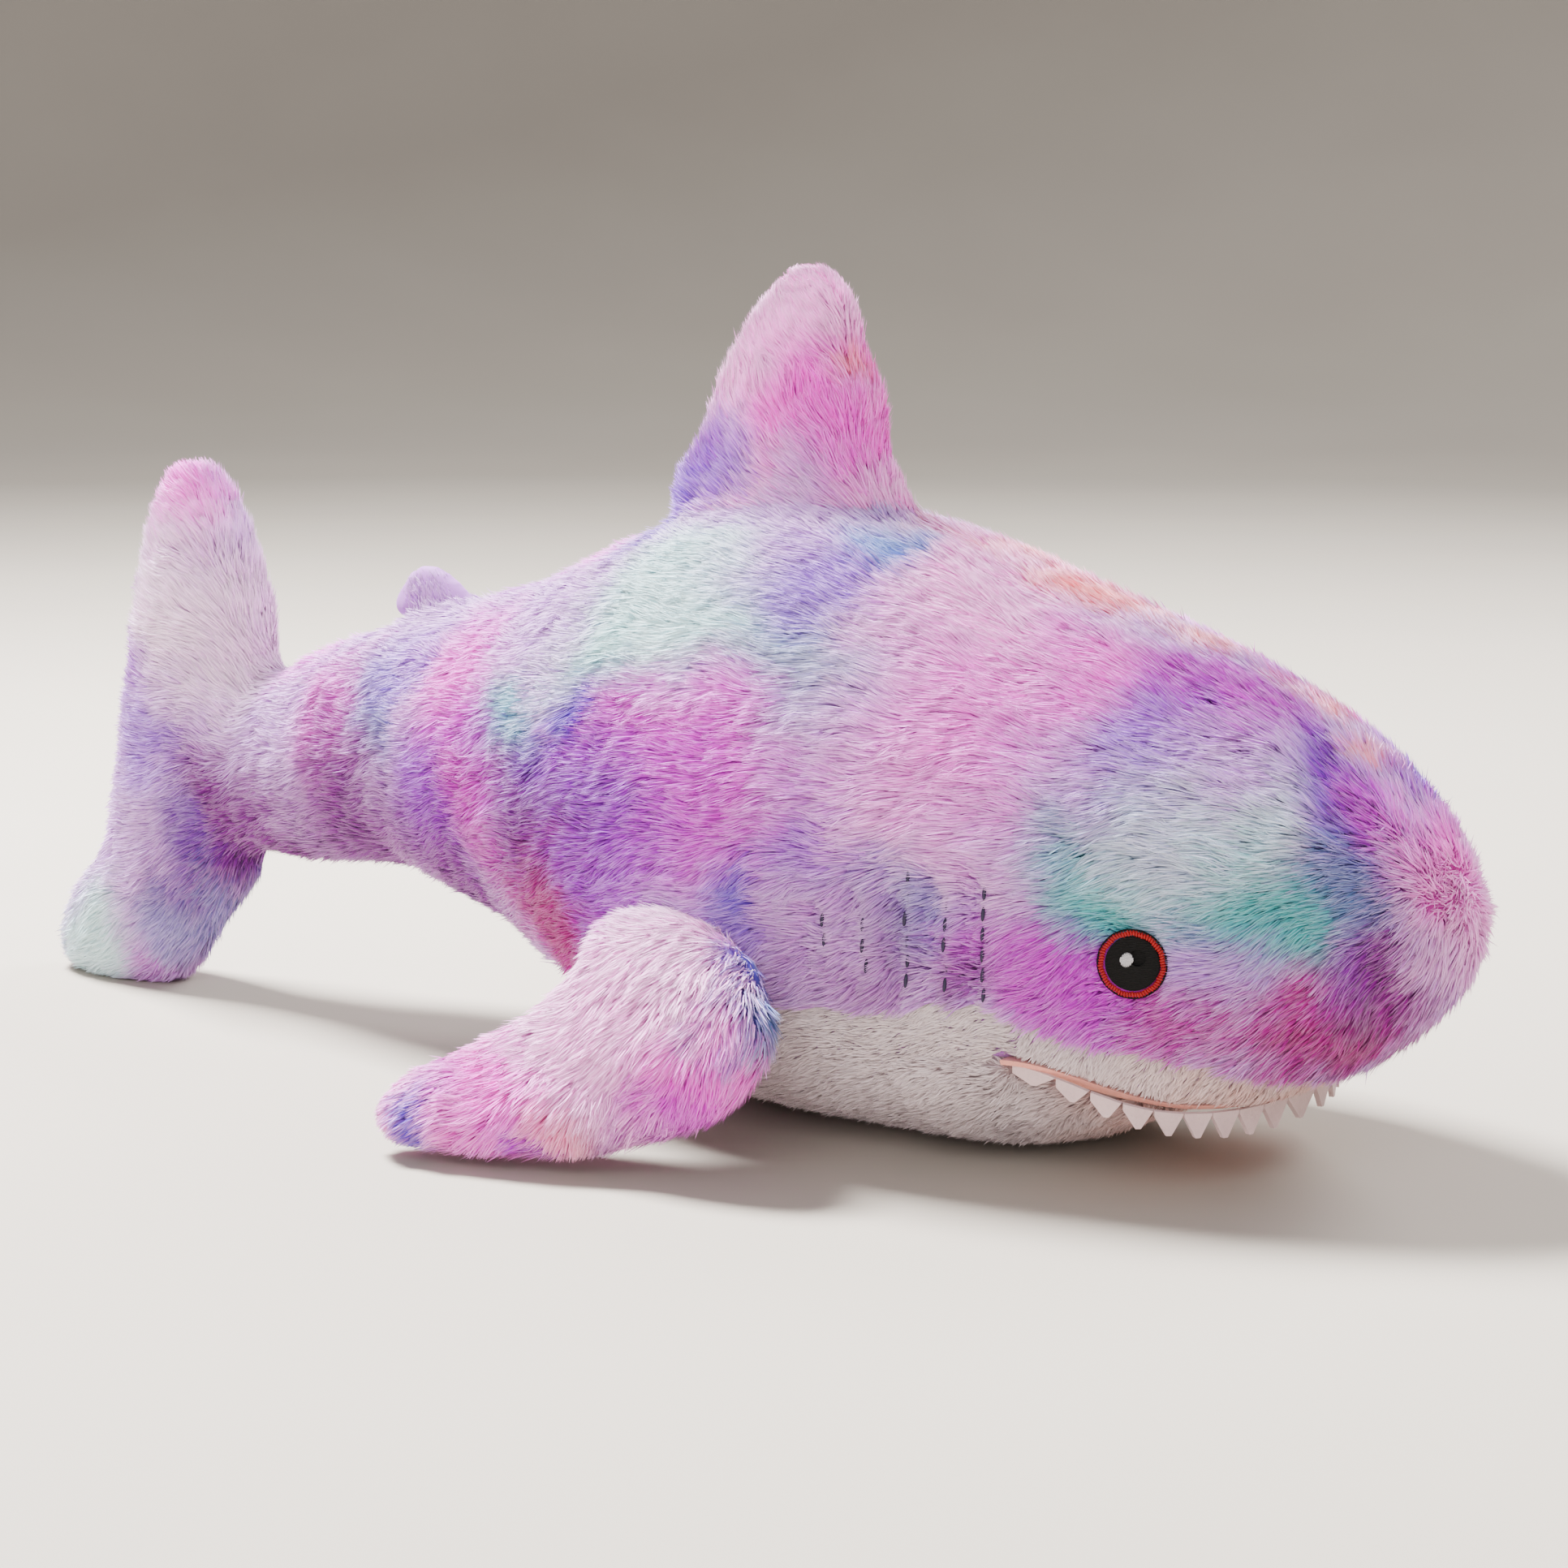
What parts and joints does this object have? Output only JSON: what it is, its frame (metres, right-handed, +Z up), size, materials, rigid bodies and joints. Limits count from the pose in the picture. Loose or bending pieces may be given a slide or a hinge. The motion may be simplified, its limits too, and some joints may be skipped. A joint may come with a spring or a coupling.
{
  "type": "plush shark",
  "caption": "Soft stuffed toy shark in long tie-dyed pile, with hinged fins, tail and lower jaw, lying on its belly.",
  "frame": {"origin": "on the floor under the middle of the bounding box", "axes": "+X towards the snout, +Y to the shark's left, +Z up"},
  "size_m": [0.5848, 0.3042, 0.2695],
  "materials": {
    "dyed_pile": "long tie-dyed pile, violet, pink, mint and white",
    "white_pile": "short white pile",
    "polyester_filling": "loose polyester fibre",
    "mouth_felt": "peach felt",
    "tooth_felt": "white felt",
    "red_embroidery": "satin stitch",
    "black_embroidery": "dense stitch",
    "grey_embroidery": "satin stitch",
    "gill_thread": "twisted thread"
  },
  "bodies": {
    "torso": {"torso_filling": "polyester_filling", "flank_panel_right": "dyed_pile", "flank_panel_left": "dyed_pile", "belly_panel": "white_pile", "upper_lip_panel": "white_pile", "mouth_roof_lining": "mouth_felt", "upper_teeth": "tooth_felt", "eye_ring_right": "red_embroidery", "eye_ring_left": "red_embroidery", "eye_disc_right": "black_embroidery", "eye_disc_left": "black_embroidery", "eye_glint_right": "grey_embroidery", "eye_glint_left": "grey_embroidery", "gill_stitches_right": "gill_thread", "gill_stitches_left": "gill_thread"},
    "lower_jaw": {"jaw_filling": "polyester_filling", "jaw_panel": "white_pile", "mouth_floor_lining": "mouth_felt"},
    "dorsal_fin": {"dorsal_fin_filling": "polyester_filling", "dorsal_fin_panel_right": "dyed_pile", "dorsal_fin_panel_left": "dyed_pile"},
    "tail_stem": {"tail_filling": "polyester_filling", "tail_panel_right": "dyed_pile", "tail_panel_left": "dyed_pile"},
    "rear_dorsal_fin": {"rear_dorsal_fin_filling": "polyester_filling", "rear_dorsal_fin_panel_right": "dyed_pile", "rear_dorsal_fin_panel_left": "dyed_pile"},
    "caudal_fin": {"caudal_fin_filling": "polyester_filling", "caudal_fin_panel_right": "dyed_pile", "caudal_fin_panel_left": "dyed_pile"},
    "pectoral_fin_right": {"pectoral_fin_right_filling": "polyester_filling", "pectoral_fin_right_lower_panel": "dyed_pile", "pectoral_fin_right_upper_panel": "dyed_pile"},
    "pectoral_fin_left": {"pectoral_fin_left_filling": "polyester_filling", "pectoral_fin_left_lower_panel": "dyed_pile", "pectoral_fin_left_upper_panel": "dyed_pile"}
  },
  "joints": [
    {"name": "jaw_fold", "type": "hinge", "parent": "torso", "child": "lower_jaw", "pos_m": [0.173, 0, 0.037], "axis": [0, 1, 0], "range_deg": [0, 12], "stiffness_Nm_per_rad": 0.6},
    {"name": "dorsal_fold", "type": "hinge", "parent": "torso", "child": "dorsal_fin", "pos_m": [0.049, 0, 0.193], "axis": [1, 0, 0], "range_deg": [-30, 30], "stiffness_Nm_per_rad": 0.35},
    {"name": "tail_bend", "type": "hinge", "parent": "torso", "child": "tail_stem", "pos_m": [-0.072, 0, 0.1], "axis": [0, 0, 1], "range_deg": [-25, 25], "stiffness_Nm_per_rad": 1.5},
    {"name": "rear_dorsal_fold", "type": "hinge", "parent": "tail_stem", "child": "rear_dorsal_fin", "pos_m": [-0.103, 0, 0.1505], "axis": [1, 0, 0], "range_deg": [-25, 25], "stiffness_Nm_per_rad": 0.03},
    {"name": "caudal_bend", "type": "hinge", "parent": "tail_stem", "child": "caudal_fin", "pos_m": [-0.195, 0, 0.09], "axis": [0, 0, 1], "range_deg": [-30, 30], "stiffness_Nm_per_rad": 0.6},
    {"name": "pectoral_right_fold", "type": "hinge", "parent": "torso", "child": "pectoral_fin_right", "pos_m": [0.078, -0.098, 0.06675], "axis": [-0.9806, 0.1121, 0.1611], "range_deg": [-5, 55], "stiffness_Nm_per_rad": 0.35},
    {"name": "pectoral_left_fold", "type": "hinge", "parent": "torso", "child": "pectoral_fin_left", "pos_m": [0.078, 0.098, 0.06675], "axis": [0.9806, 0.1121, -0.1611], "range_deg": [-5, 55], "stiffness_Nm_per_rad": 0.35}
  ]
}
